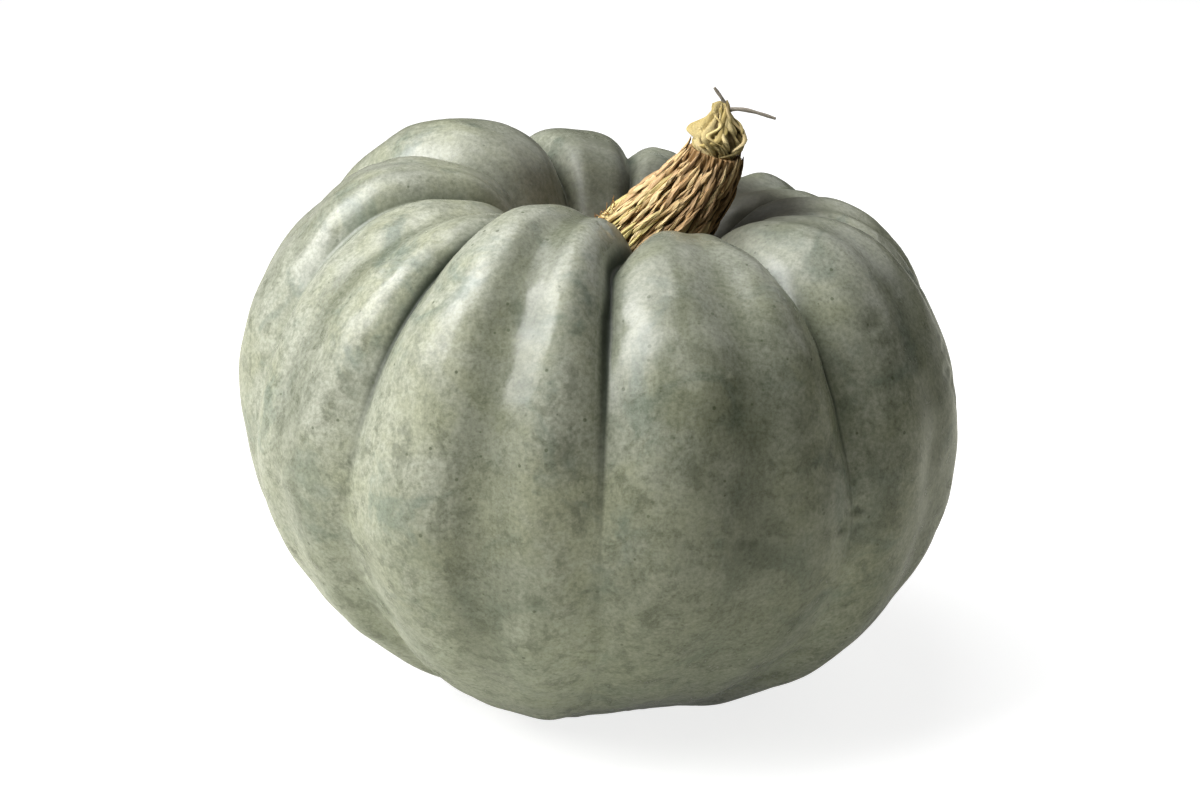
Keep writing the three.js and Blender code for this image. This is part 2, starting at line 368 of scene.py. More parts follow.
# %% [markdown]
# ## Fruit: the lobes
# Ten lobes grow side by side. Each has a furrow on either side, a shallow groove down its back, and its own
# rise at the shoulder. One row of numbers describes a lobe, and one formula sinks the rind below the outline
# by the furrow, the groove and the crest.

# %% Describe the ten lobes
LOBES = np.array(
    [
        (0, 9, 14, 14, 0.55, 3, -2, 4.5),
        (42, 10, 0, 14, 0.5, 2.5, 3, -3),
        (82, 0, 0, 14, 0.45, 3, -2.5, -2),
        (113, -3, 0, 13, 0.55, 3, -6, 0),
        (145, 0, 0, 13, 0.5, 2, -6, 0),
        (182, 5, 0, 10, 0.5, 0.5, -2, 0),
        (211, 3, 0, 13, 0.5, 1, 4, 0),
        (255, -4, 0, 13, 0.5, 0.5, -3.5, 0),
        (288, 2, 0, 13, 0.5, 2, -12, -1),
        (318, -3, 0, 15, 0.58, 6, 2, -1.5),
    ]
)
FURROW, SWAY, HOOK, DEPTH, SPLIT, GROOVE, RISE, TUCK = LOBES.T
FURROW_CROWDING = 0.5
CREST_SQUARENESS = 4
SHOULDER_SQUARENESS = 2.4
STEEP_SQUARENESS = 3.8
BELLY_SQUARENESS = 2
GROOVE_WIDTH = 0.28


def rising(share, low, high):
    """Eases from 0 to 1 as the share goes from low to high."""
    step = np.clip((share - low) / (high - low), 0, 1)
    return step * step * (3 - 2 * step)


def furrow_reach(share):
    """How much of the furrows' depth shows: most on the shoulder, less on the belly, none at the ends."""
    fade = (1 - 0.62 * rising(share, 0.25, 0.6)) * (1 - rising(share, 0.68, 0.92))
    return 1.1 * rising(share, 0.02, 0.2) * fade


def groove_reach(share):
    """How much of the grooves shows: none in the cavity and none underneath."""
    return rising(share, 0.1, 0.3) * (1 - 0.3 * rising(share, 0.4, 0.65)) * (1 - rising(share, 0.6, 0.86))


def furrow_angles(share):
    """Each lobe's near furrow in degrees: a straight angle, a sway down the fruit and a hook by the stem."""
    hooked = 1 - rising(share, 0.08, 0.26)
    return FURROW + SWAY * (2 * share - 1) + HOOK * hooked


def rind_depths(share, across):
    """How far the furrow and the groove sink the rind, and how far a crest lifts it, across from -1 to 1."""
    near = np.where(across < 0, DEPTH[:, None], np.roll(DEPTH, -1)[:, None])
    flank = np.where(across < 0, SHOULDER_SQUARENESS, STEEP_SQUARENESS)
    crease = np.abs(across) ** between(CREST_SQUARENESS, flank, rising(share, 0.12, 0.35))
    wave = (1 - np.cos(np.pi * np.abs(across) ** BELLY_SQUARENESS)) / 2
    furrow = near * between(crease, wave, rising(share, 0.3, 0.62)) * furrow_reach(share)
    from_groove = (across - (2 * SPLIT[:, None] - 1)) / GROOVE_WIDTH
    groove = GROOVE[:, None] * np.exp(-(from_groove**2)) * groove_reach(share)
    shoulder = rising(share, 0.04, 0.22) * (1 - rising(share, 0.25, 0.5))
    tuck = rising(share, 0.52, 0.72) * (1 - rising(share, 0.8, 0.97))
    crest = (1 - across**2) * (RISE[:, None] * shoulder - TUCK[:, None] * tuck)
    return furrow, groove, crest


# %% [markdown]
# ## Fruit: the surface
# The outline is carried round the growth axis. The grid's columns follow the furrows, so the creases stay
# sharp. Then the fruit leans a little and is pressed flat where it stands. Every point also keeps how deep
# its furrow is, how dark the seam is there and how dark its lobe is, both partly painted shade, which the
# finish reads later.

# %% Work out the fruit's grid
ROWS = 262
LOBE_COLUMNS = 36
LEAN = math.radians(8)
TURNING_POINT = 110
STANDING_HEIGHT = 105
# How far the dark of a seam reaches up either side of its furrow in mm, and how dark each seam is. The
# dark is partly a deeper green and partly painted shade, and it reaches further up the steeper side
SEAM_NEAR = np.full(len(LOBES), 1.4)
SEAM_NEAR[-1] = 3.0
SEAM_FAR = 3.4
SEAM_STRENGTH = np.array([1, 0.85, 0.6, 0.6, 0.6, 0.55, 0.6, 0.35, 0.4, 0.95])
# How much darker the back of each lobe is: partly its own ripening, partly painted shade
LOBE_MOSS_AND_SHADE = np.array([0.48, 0.32, 0, 0.38, 0.2, 0.45, 0.2, 0.1, 0, 0])


def outline_at(share):
    """The outline's radius and height, and its outward direction, at shares of its length."""
    steps = np.linspace(0, 1, len(outline))
    radius, height = [np.interp(share, steps, axis) for axis in outline.T]
    run, climb = np.gradient(outline, axis=0).T
    out, up = [np.interp(share, steps, axis / np.hypot(run, climb)) for axis in (-climb, run)]
    return radius, height, out, up


def fruit_grid():
    """The rind's points in mm, shaped (row, column, 3), with the furrow, groove, seam and moss at each.

    A row is a share of the outline, from the blossom end up. A column is a place between two furrows. The
    point lies on the outline, sunk along its outward direction, turned by the column's angle and leaned. The
    The seam is 1 in the bottom of a furrow and fades to 0 within a few mm, more slowly up the steeper side;
    its dark is partly a deeper green and partly painted shade. The moss is how much darker each lobe's back
    is, partly ripening and partly painted shade, and it fades out towards the foot.
    """
    share = np.linspace(1, 0, ROWS + 2)[1:-1, None, None]
    even = np.arange(LOBE_COLUMNS) / LOBE_COLUMNS
    along = even - FURROW_CROWDING * np.sin(2 * np.pi * even) / (2 * np.pi)
    near = furrow_angles(share[:, :, 0])
    after = np.concatenate([near[:, 1:], near[:, :1] + 360], axis=1)
    angle = np.radians(near[:, :, None] + along * (after - near)[:, :, None])
    furrow, groove, crest = rind_depths(share, 2 * along - 1)
    sunk = furrow + groove - crest
    radius, height, out, up = outline_at(share)
    reach = radius - out * sunk
    climb = height - up * sunk - TURNING_POINT
    x, y = reach * np.sin(angle), -reach * np.cos(angle)
    leaned_x = x * math.cos(LEAN) + climb * math.sin(LEAN)
    leaned_z = climb * math.cos(LEAN) - x * math.sin(LEAN) + STANDING_HEIGHT
    points = np.stack([leaned_x, y, leaned_z], -1)
    from_furrow = np.minimum(along, 1 - along) * np.radians(after - near)[:, :, None] * radius
    seam_width = np.where(along < 0.5, SEAM_NEAR[:, None], SEAM_FAR)
    strength = np.where(along < 0.5, SEAM_STRENGTH[:, None], np.roll(SEAM_STRENGTH, -1)[:, None])
    seam = strength * np.exp(-((from_furrow / seam_width) ** 2)) * np.minimum(furrow_reach(share), 1)
    moss_and_shade = LOBE_MOSS_AND_SHADE[:, None] * (1 - (2 * along - 1) ** 4) * (1 - rising(share, 0.58, 0.8))
    shares = np.broadcast_to(share, angle.shape)
    values = [value.reshape(ROWS, -1) for value in (furrow, groove, seam, moss_and_shade, shares, angle)]
    return points.reshape(ROWS, -1, 3), *values


rind_points, furrow_depth, groove_depth, rind_seam, rind_moss_and_shade, rind_share, rind_angle = fruit_grid()
print("fruit grid", rind_points.shape, "furrows to", furrow_depth.max().round(1), "mm deep")

# %% [markdown]
# ## Fruit: lumps, dimples and marks
# Grown rind is never even. Broad swellings and small hammered dimples catch the light, and a wart, a scar and
# a few dark dots sit on the lobes. They are real relief here, so they also show at the edges. Smooth noise
# as a sum of waves does this without any loop over points.

# %% Add the relief of grown rind
RIND_SEED = 11
WAVES = 28
SWELL_HEIGHT = 0.6
SWELL_LENGTH = 62
RIPPLE_HEIGHT = 0.22
RIPPLE_LENGTH = 23
DIMPLED_PATCH = 55
DIMPLE_DEPTH = 0.3
DIMPLE_LENGTH = 10


def smooth_noise(points, wavelength, seed):
    """Hills and hollows about 1 high: waves of nearly one length, in random directions, added up."""
    draw = np.random.default_rng(seed)
    ways = draw.normal(size=(WAVES, 3))
    ways /= np.linalg.norm(ways, axis=1, keepdims=True)
    ways *= draw.uniform(0.7, 1.4, (WAVES, 1)) * 2 * np.pi / wavelength
    return np.cos(points @ ways.T + draw.uniform(0, 2 * np.pi, WAVES)).sum(-1) * math.sqrt(2 / WAVES)


def grid_normals(points):
    """Outward directions of a grid of rings: across the step to the next row and to the next column."""
    up = np.gradient(points, axis=0)
    round_it = np.roll(points, -1, axis=1) - np.roll(points, 1, axis=1)
    out = np.cross(round_it, up)
    return out / np.linalg.norm(out, axis=-1, keepdims=True)


MARKS = [
    # place on the rind in mm, reach and lift in mm, tint from -1 (dark) to 1 (pale)
    ((43.7, -116.3, 158.3), 1.7, 1.3, 0.9),
    ((46.5, -127.7, 120), 1.0, -0.25, 0.8),
    ((46.7, -127.8, 116), 1.0, -0.25, 0.8),
    ((46.9, -127.8, 112.5), 1.0, -0.25, 0.7),
    ((-47.7, -105.2, 181.6), 1.0, -0.2, -1.0),
    ((18.2, -120.8, 158), 1.2, -0.2, -1.0),
    ((31.7, -86.8, 190.6), 1.0, -0.2, -0.9),
    ((-23.8, -111.6, 175.3), 4.5, -0.3, -0.5),
    ((61, 118, 150), 1.8, 1.0, 0.6),
    ((-96, 88, 128), 1.4, -0.3, -1.0),
    ((112, 62, 100), 1.5, 0.8, 0.7),
]

swell = SWELL_HEIGHT * smooth_noise(rind_points, SWELL_LENGTH, RIND_SEED)
ripple = RIPPLE_HEIGHT * smooth_noise(rind_points, RIPPLE_LENGTH, RIND_SEED + 1)
dimpled = rising(smooth_noise(rind_points, DIMPLED_PATCH, RIND_SEED + 2), 0.2, 1.6)
dimples = -DIMPLE_DEPTH * dimpled * smooth_noise(rind_points, DIMPLE_LENGTH, RIND_SEED + 3) ** 2 / 2
relief = (swell + ripple + dimples) * rising(rind_share, 0.0, 0.12)
mark_tint = np.zeros_like(rind_share)
for place, reach, lift, shade in MARKS:
    near = np.exp(-(((rind_points - np.array(place)) ** 2).sum(-1)) / reach**2)
    relief = relief + lift * near
    mark_tint = mark_tint + shade * near
rind_points = rind_points + relief[..., None] * grid_normals(rind_points)
rind_points[..., 2] = np.maximum(rind_points[..., 2], 0)
print("relief", relief.min().round(2), "to", relief.max().round(2), "mm")

# %% [markdown]
# ## Fruit: the rind's finish
# The skin is grey-green under a thin bloom of wax. Close up it is a mottle of yellow-green and blue-green
# clouds, with fine dark specks and faint streaks along the ribs. The furrows are darker, partly a deeper
# green and partly painted shade. Some lobes are darker than others, partly from ripening and partly as
# painted shade, the belly is greener, and a brown stain in the cavity beside the stem is partly painted
# shadow of the stem. Noise at several sizes gives the clouds, and values carried on the points tell the
# material where the rest is.

# %% Mix the rind
GREY_GREEN = tint(0.366, 0.378, 0.316)
YELLOW_GREEN = tint(0.334, 0.345, 0.254)
BLUE_GREEN = tint(0.175, 0.21, 0.175)
MOSS_GREEN_AND_SHADE = tint(0.105, 0.116, 0.078)
PALE_BLOOM = tint(0.4, 0.41, 0.355)
FURROW_GREEN_AND_SHADE = tint(0.1, 0.12, 0.08)
SEAM_GREEN_AND_SHADE = tint(0.022, 0.03, 0.018)
SPECK_GREEN = tint(0.085, 0.1, 0.06)
SCAR_PALE = tint(0.5, 0.5, 0.4)
SCAR_CORK = tint(0.3, 0.21, 0.11)
CAVITY_STAIN_AND_SHADOW = tint(0.028, 0.026, 0.016)
BELLY_GREEN = tint(0.35, 0.385, 0.305)

rind, tree, shader = new_finish("rind_skin")
place = tree.nodes.new("ShaderNodeTexCoord").outputs["Object"]
rib = piece_value(tree, "rib", "Vector")

cloud_noise = noise(tree, place, scale=30, detail=4, roughness=0.6, distortion=0.5)
clouds = spread(tree, cloud_noise, 0.38, 0.66)
skin = blend(tree, clouds, GREY_GREEN, YELLOW_GREEN)
blue_noise = noise(tree, place, scale=38, detail=5, roughness=0.62, distortion=0.8)
blue = spread(tree, blue_noise, 0.49, 0.68, 0.0, 0.85)
skin = blend(tree, blue, skin, BLUE_GREEN)
streak_noise = noise(tree, rib, scale=42, detail=5, roughness=0.65)
streaks = spread(tree, streak_noise, 0.45, 0.72, 0.0, 0.55)
skin = blend(tree, streaks, skin, MOSS_GREEN_AND_SHADE)
mottle = noise(tree, place, scale=140, detail=6, roughness=0.7, distortion=0.4)
way_down = piece_value(tree, "way_down")
skin = blend(tree, spread(tree, way_down, 0.45, 0.75, 0.0, 0.6), skin, BELLY_GREEN)
mottle_share = spread(tree, way_down, 0.25, 0.5, 0.28, 0.7)
mottled = arithmetic(tree, "MULTIPLY", spread(tree, mottle, 0.46, 0.68), mottle_share)
skin = blend(tree, mottled, skin, MOSS_GREEN_AND_SHADE)
# Some lobes darken across their backs: partly their own ripening, partly painted shade.
skin = blend(tree, piece_value(tree, "moss_and_shade"), skin, MOSS_GREEN_AND_SHADE)
bloom = noise(tree, place, scale=80, detail=5, roughness=0.7)
skin = blend(tree, spread(tree, bloom, 0.46, 0.7, 0.0, 0.32), skin, PALE_BLOOM)

# %% Darken the furrows and grooves, partly as painted shade, and set the specks and marks
furrow = piece_value(tree, "furrow")
groove = piece_value(tree, "groove")
# Furrows, grooves and seams go darker: partly a deeper green, partly painted shade in the creases.
skin = blend(tree, spread(tree, groove, 0.1, 0.75, 0.0, 0.45), skin, MOSS_GREEN_AND_SHADE)
skin = blend(tree, spread(tree, furrow, 0.35, 1.0, 0.0, 0.6), skin, FURROW_GREEN_AND_SHADE)
seam = piece_value(tree, "seam")
skin = blend(tree, spread(tree, seam, 0.3, 0.9, 0.0, 0.9), skin, SEAM_GREEN_AND_SHADE)

SPECKS_PER_METRE = 230
cells = tree.nodes.new("ShaderNodeTexVoronoi")
put(cells.inputs["Vector"], place)
put(cells.inputs["Scale"], SPECKS_PER_METRE)
speck_draw = tree.nodes.new("ShaderNodeSeparateColor")
put(speck_draw.inputs["Color"], cells.outputs["Color"])
speck_size = spread(tree, speck_draw.outputs["Red"], 0.6, 1.0, 0.0, 0.2)
speck_edge = arithmetic(tree, "SUBTRACT", speck_size, cells.outputs["Distance"])
specks = spread(tree, speck_edge, 0.0, 0.08, 0.0, 0.7)
skin = blend(tree, specks, skin, SPECK_GREEN)

mark = piece_value(tree, "mark")
skin = blend(tree, spread(tree, mark, 0.15, 0.8, 0.0, 0.8), skin, SCAR_PALE)
skin = blend(tree, spread(tree, mark, -0.2, -0.8, 0.0, 0.85), skin, SPECK_GREEN)
skin = blend(tree, spread(tree, way_down, 0.975, 0.99), skin, SCAR_CORK)
# Beside the stem the cavity goes dark brown: partly a stain, partly painted shadow of the stem.
stain_and_shadow = piece_value(tree, "stain_and_shadow")
skin = blend(tree, spread(tree, stain_and_shadow, 0.05, 0.7, 0.0, 0.97), skin, CAVITY_STAIN_AND_SHADOW)
grain = noise(tree, place, scale=620, detail=4, roughness=0.7)
shade = colour_ramp(tree, grain, [(0.3, tint(0.66, 0.67, 0.62)), (0.62, tint(1.08, 1.08, 1.06))])
skin = blend(tree, 1.0, skin, shade, "MULTIPLY")
put(shader.inputs["Base Color"], skin)

# %% Give the rind its waxy sheen and fine pores
WAX_GLOSS = 0.42
GRAIN_SHARE = 0.45
PORE_DEPTH = 0.0001
patchy_wax = spread(tree, mottle, 0.3, 0.7, 0.21, 0.28)
dull_seam = spread(tree, seam, 0.1, 0.8, 0.0, 0.3)
dull_stain_and_shadow = spread(tree, stain_and_shadow, 0.1, 0.6, 0.0, 0.4)
dull = arithmetic(tree, "MAXIMUM", dull_seam, dull_stain_and_shadow)
put(shader.inputs["Roughness"], arithmetic(tree, "ADD", patchy_wax, dull))
shader.inputs["Specular IOR Level"].default_value = WAX_GLOSS
pores = arithmetic(tree, "ADD", arithmetic(tree, "MULTIPLY", grain, GRAIN_SHARE), mottle)
put(shader.inputs["Normal"], bumped(tree, pores, PORE_DEPTH))

# %% Make the fruit
FULL_FURROW = 15
FULL_GROOVE = 5
RIB_RADIUS = 0.14
RIB_SQUEEZE = 0.09
# The stain and its painted shadow lie to the right of the stem, where the stem's shade falls.
STAIN_AND_SHADOW_ANGLE = math.radians(105)
STAIN_AND_SHADOW_WIDTH = math.radians(60)
from_stain_and_shadow = np.angle(np.exp(1j * (rind_angle - STAIN_AND_SHADOW_ANGLE))) / STAIN_AND_SHADOW_WIDTH
rind_stain_and_shadow = (1 - rising(rind_share, 0.12, 0.28)) * between(0.35, 1, np.exp(-(from_stain_and_shadow**2)))
rib_across = np.sin(rind_angle) * RIB_RADIUS
rib_back = np.cos(rind_angle) * RIB_RADIUS
rib_way = np.stack([rib_across, rib_back, rind_share * RIB_SQUEEZE], -1)
rind_values = {
    "furrow": furrow_depth[None] / FULL_FURROW,
    "groove": groove_depth[None] / FULL_GROOVE,
    "seam": rind_seam[None],
    "moss_and_shade": rind_moss_and_shade[None],
    "mark": mark_tint[None],
    "way_down": rind_share[None],
    "stain_and_shadow": rind_stain_and_shadow[None],
    "rib": rib_way[None],
}
fruit = tube_piece("ribbed_fruit", rind_points[None] * MM, rind, rind_values)
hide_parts("fruit")

# %% [markdown]
# ## Stem: the stalk
# The stem grows out of the cavity, leans to the right and straightens. Its bark has dried into long chips.
# Under them is a dark, fissured stalk that shows only in the cracks, its dark partly painted shade, so it
# is made first: rings along the stem's axis, with ridges that run up it.

# %% Follow the stem's axis
STEM_AXIS = [(5, 0, 146), (9, 0, 175), (38.5, 0, 189), (44, 0, 209)]
STEM_FOOT_RADIUS = 24
STEM_RIM_RADIUS = 11
STEM_TAPER = 0.95
RIM_OVERRUN = 12

stem_path = evenly(bezier(STEM_AXIS, np.linspace(0, 1, 400)), 400)
STEM_LENGTH = float(np.linalg.norm(np.diff(stem_path, axis=0), axis=1).sum())
end_way = stem_path[-1] - stem_path[-2]
end_way /= np.linalg.norm(end_way)
STEM_STEPS = np.append(np.linspace(0, STEM_LENGTH, 400), STEM_LENGTH + RIM_OVERRUN)
stem_path = np.vstack([stem_path, stem_path[-1] + end_way * RIM_OVERRUN])


def round_path(path, steps, distance, around, radius):
    """A place round a path in the XZ plane: along it by a distance, then out by a radius at an angle.

    The angle runs from the front, -Y, towards the side that lies to the right of the path's direction.
    """
    centre = np.stack([np.interp(distance, steps, axis) for axis in path.T], -1)
    slope = np.gradient(path, steps, axis=0)
    way = np.stack([np.interp(distance, steps, axis) for axis in slope.T], -1)
    way /= np.linalg.norm(way, axis=-1, keepdims=True)
    side = np.stack([way[..., 2], np.zeros_like(distance), -way[..., 0]], -1)
    front = np.array([0.0, -1.0, 0.0])
    sideways = (radius * np.sin(around))[..., None] * side
    return centre + sideways + (radius * np.cos(around))[..., None] * front


def stalk_radius(distance):
    """The stalk tapers from its foot to its rim."""
    share = np.clip(distance / STEM_LENGTH, 0, 1)
    return between(STEM_FOOT_RADIUS, STEM_RIM_RADIUS, share**STEM_TAPER)


print("stem", round(STEM_LENGTH, 1), "mm long")

# %% [markdown]
# ## Stem: finish of the bark
# Dry bark is straw, tan and pink-brown, with fine grain along each chip. Its cracks are dark: partly dirt,
# partly painted shade. The grain is shared by the stalk, the chips, the torn fibres and the strands, so it
# is a node group.

# %% Build the dry grain


def dry_grain_group():
    """Fine lengthwise grain: noise on the piece's own across and along values, squeezed along the fibre."""
    group = bpy.data.node_groups.new("dry_grain", "ShaderNodeTree")
    for label in ("Along", "Across", "Piece"):
        group.interface.new_socket(label, in_out="INPUT", socket_type="NodeSocketFloat")
    for label in ("Streak", "Fleck"):
        group.interface.new_socket(label, in_out="OUTPUT", socket_type="NodeSocketFloat")
    given = group.nodes.new("NodeGroupInput")
    result = group.nodes.new("NodeGroupOutput")
    place = group.nodes.new("ShaderNodeCombineXYZ")
    put(place.inputs["X"], given.outputs["Across"])
    put(place.inputs["Y"], arithmetic(group, "MULTIPLY", given.outputs["Along"], 0.1))
    put(place.inputs["Z"], given.outputs["Piece"])
    put(result.inputs["Streak"], noise(group, place.outputs[0], scale=1500, detail=3, roughness=0.6))
    put(result.inputs["Fleck"], noise(group, place.outputs[0], scale=420, detail=2, roughness=0.5))
    return group


DRY_GRAIN = dry_grain_group()


def dry_grain(tree):
    """Places the grain in a material, fed by the piece's own values."""
    made = tree.nodes.new("ShaderNodeGroup")
    made.node_tree = DRY_GRAIN
    put(made.inputs["Along"], piece_value(tree, "along"))
    put(made.inputs["Across"], piece_value(tree, "across"))
    put(made.inputs["Piece"], piece_value(tree, "tone"))
    return made.outputs["Streak"], made.outputs["Fleck"]


def dry_finish(name, stops, dark, roughness, relief):
    """A dry fibre finish: a colour for each chip or strand, grain along it, and dark in its cracks, partly
    dirt and partly painted shade.
    """
    material, tree, shader = new_finish(name)
    streak, fleck = dry_grain(tree)
    colour = colour_ramp(tree, piece_value(tree, "tone"), stops)
    lines = colour_ramp(tree, streak, [(0.3, tint(0.55, 0.5, 0.45)), (0.65, tint(1.08, 1.06, 1.02))])
    colour = blend(tree, 0.8, colour, lines, "MULTIPLY")
    patches = colour_ramp(tree, fleck, [(0.35, tint(0.72, 0.66, 0.58)), (0.6, tint(1, 1, 1))])
    colour = blend(tree, 0.6, colour, patches, "MULTIPLY")
    # Cracks, undersides and creases darken: partly dirt, partly painted shade.
    colour = blend(tree, spread(tree, piece_value(tree, "crack_dirt_and_shade"), 0.35, 1.05), colour, dark)
    put(shader.inputs["Base Color"], colour)
    put(shader.inputs["Roughness"], spread(tree, streak, 0.2, 0.8, roughness, roughness + 0.12))
    shader.inputs["Specular IOR Level"].default_value = 0.3
    put(shader.inputs["Normal"], bumped(tree, streak, relief))
    return material


CRACK_DIRT_AND_SHADE = tint(0.1, 0.066, 0.03)
BARK_TONES = [
    (0.0, tint(0.15, 0.088, 0.038)),
    (0.2, tint(0.47, 0.3, 0.135)),
    (0.42, tint(0.7, 0.49, 0.28)),
    (0.62, tint(0.79, 0.6, 0.31)),
    (0.82, tint(0.87, 0.72, 0.41)),
    (1.0, tint(0.64, 0.57, 0.23)),
]
bark = dry_finish("dry_bark", BARK_TONES, CRACK_DIRT_AND_SHADE, 0.72, 0.0003)
print("finish", bark.name)

# %% Make the fissured stalk
STALK_ROWS = 150
STALK_SIDES = 220
STALK_SINK = 1.3
CUP_DEPTH = 3
CUP_WALL = 2.2
STALK_TONE = 0.2
# The stalk is darkened all over, as it shows only in the cracks: partly dirt, partly painted shade.
STALK_DIRT_AND_SHADE = 0.55
STEM_SEED = 23


def stalk_points():
    """The stalk under the chips: rings up the axis, a little below the bark, with wavy ridges up them.

    The last rings turn in over the rim and down into a shallow cup.
    """
    up = np.linspace(0, STEM_LENGTH, STALK_ROWS)[:, None]
    around = np.linspace(0, 2 * np.pi, STALK_SIDES, endpoint=False)[None]
    sway = 0.12 * np.sin(up / 7 + 3 * around)
    ridges = 0.5 * np.sin(26 * (around + sway)) + 0.35 * np.sin(41 * (around - sway) + up / 5)
    radius = stalk_radius(up) - STALK_SINK + ridges
    rim = [(0.0, STEM_RIM_RADIUS - CUP_WALL), (-CUP_DEPTH, STEM_RIM_RADIUS - CUP_WALL - 0.4)]
    up = np.concatenate([up, [[STEM_LENGTH + step] for step, _ in rim]])
    radius = np.concatenate([radius, [np.full(STALK_SIDES, inner) for _, inner in rim]])
    around = np.broadcast_to(around, radius.shape)
    up = np.broadcast_to(up, radius.shape)
    return round_path(stem_path, STEM_STEPS, up, around, radius), up, around


stalk_grid, stalk_up, stalk_around = stalk_points()
stalk_values = {
    "tone": np.full((1, *stalk_up.shape), STALK_TONE),
    "along": stalk_up[None] * MM,
    "across": (stalk_around * STEM_FOOT_RADIUS)[None] * MM,
    "crack_dirt_and_shade": np.full((1, *stalk_up.shape), STALK_DIRT_AND_SHADE),
}
stalk = tube_piece("stem_stalk", stalk_grid[None] * MM, bark, stalk_values)
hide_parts("stem")

# %% [markdown]
# ## Stem: the chips of bark
# The bark has cracked into long, angular chips that overlap like rough shingles. Each chip is a short tube
# with six sides and sharp edges, narrow at both ends and cut slantwise there. They keep flat faces, because
# dry cork breaks in flat facets. All of them are one array, drawn strip by strip from seeded numbers.

# %% Draw the chips
STRIPS = 92
STRIP_CHIPS = 12
CHIP_TOP = 5
CHIP_LENGTHS = (5, 14)
CHIP_OVERLAP = 0.6
CHIP_STATIONS = np.array([-1, -0.62, -0.2, 0.25, 0.66, 1])
CHIP_FULLNESS = np.array([0.3, 0.85, 1, 0.95, 0.75, 0.2])
CHIP_SECTION = np.array([(1, -0.15), (0.72, 0.62), (0.1, 1), (-0.6, 0.72), (-1, -0.15), (0, -0.9)])


def chip_places(draw):
    """Where the chips sit: strips side by side round the stem, each a row of chips of random length up it.

    Returns each chip's place up and around, its half length, and the level of its strip above the stalk.
    """
    length = draw.uniform(*CHIP_LENGTHS, (STRIPS, STRIP_CHIPS))
    up = np.cumsum(length, axis=1) - length * draw.uniform(0.3, 1.2, (STRIPS, 1))
    strip = np.arange(STRIPS)[:, None] + draw.normal(0, 0.4, length.shape)
    around = 2 * np.pi * strip / STRIPS + 0.05 * np.sin(up / 8 + 6 * strip)
    level = draw.normal(-0.3, 0.5, (STRIPS, 1)) + 0 * up
    kept = (up > 0) & (up < STEM_LENGTH - CHIP_TOP)
    return up[kept], around[kept], CHIP_OVERLAP * length[kept], level[kept]


def chip_points(up, around, half_length, level, draw):
    """Chips as six-sided tubes along the stalk: a jagged section, full in the middle and thin at the ends.

    At a place t from -1 to 1 along a chip, its section is scaled by its fullness there. Its middle line rises
    by its lift, by its tilt times t, less its bow, and its ends are cut slantwise across its width.
    """
    each = (len(up), 1, 1)
    t = CHIP_STATIONS[None, :, None]
    full = CHIP_FULLNESS[None, :, None]
    wide, thick = CHIP_SECTION.T[:, None, None]
    jagged = draw.normal(0, 0.15, (2, len(up), len(CHIP_STATIONS), len(CHIP_SECTION)))
    half_length = half_length.reshape(each)
    half_width = draw.uniform(0.55, 1.2, each)
    half_thick = draw.uniform(0.5, 1.2, each)
    slant_cut = draw.normal(0, 1.2, each)
    lift = np.minimum(level.reshape(each) + draw.uniform(-0.4, 0.4, each), 0.7)
    tilt = np.minimum(draw.normal(0.3, 0.4, each), 0.7)
    bow = draw.uniform(0, 0.7, each)
    slant = draw.normal(0.05, 0.12, each)
    roll = draw.normal(0, 0.28, each)
    sideways = half_width * full * (wide + jagged[0])
    outwards = half_thick * np.sqrt(full) * (thick + jagged[1]) + roll * sideways
    distance = up.reshape(each) + half_length * t + slant_cut * wide * np.abs(t)
    trunk = stalk_radius(distance)
    radius = trunk + lift + tilt * t - bow * t**2 + outwards
    angle = around.reshape(each) + (slant * half_length * t + sideways) / trunk
    points = round_path(stem_path, STEM_STEPS, distance, angle, radius)
    # Each chip darkens towards its underside, its tips and where it sits low: partly dirt, partly painted
    # shade.
    crack_dirt_and_shade = 0.75 - 0.75 * thick + 0.3 * np.abs(t) ** 4 - 0.25 * lift
    return points, half_length * t + 0 * wide, sideways, crack_dirt_and_shade + 0 * sideways


def chip_tones(up, around, draw):
    """A tone for each chip: olive straw at the lower left, pinkish tan near the rim, brown on the right."""
    side = (around + np.pi) % (2 * np.pi) - np.pi
    olive = 0.34 * np.exp(-((side + 1.1) ** 2) / 0.9 - ((up - 26) / 14) ** 2)
    pink = 0.16 * np.exp(-(((up - STEM_LENGTH + 8) / 14) ** 2))
    brown = 0.24 * np.exp(-((side - 1.5) ** 2) / 0.8)
    return np.clip(0.6 + olive - pink - brown + draw.normal(0, 0.19, len(up)), 0.02, 0.98)


draw = np.random.default_rng(STEM_SEED)
chip_up, chip_around, chip_length, chip_level = chip_places(draw)
chips, chip_along, chip_across, chip_dirt_and_shade = chip_points(chip_up, chip_around, chip_length, chip_level, draw)
chip_tone = chip_tones(chip_up, chip_around, draw)
chip_values = {
    "tone": np.broadcast_to(chip_tone[:, None, None], chip_along.shape),
    "along": chip_along * MM,
    "across": chip_across * MM,
    "crack_dirt_and_shade": chip_dirt_and_shade,
}
tube_piece("bark_chips", chips * MM, bark, chip_values, smooth=False)

# %% [markdown]
# ## Stem: hairs at the root
# Where the bark meets the rind on the left, a fringe of thin orange-brown hairs has frayed off it, and one of
# them stands up. Each is a thin tube that leaves the bark, bends out and climbs.

# %% Fray the root
HAIRS = 18
HAIR_RINGS = 8
HAIR_SIDES = 5
HAIR_SEED = 5
UPRIGHT_HAIR = (7.5, 2.6, 30, 0)
HAIR_TONES = [(0.0, tint(0.24, 0.11, 0.035)), (1.0, tint(0.46, 0.26, 0.09))]
hair_finish = dry_finish("root_hair", HAIR_TONES, CRACK_DIRT_AND_SHADE, 0.7, 0.0001)


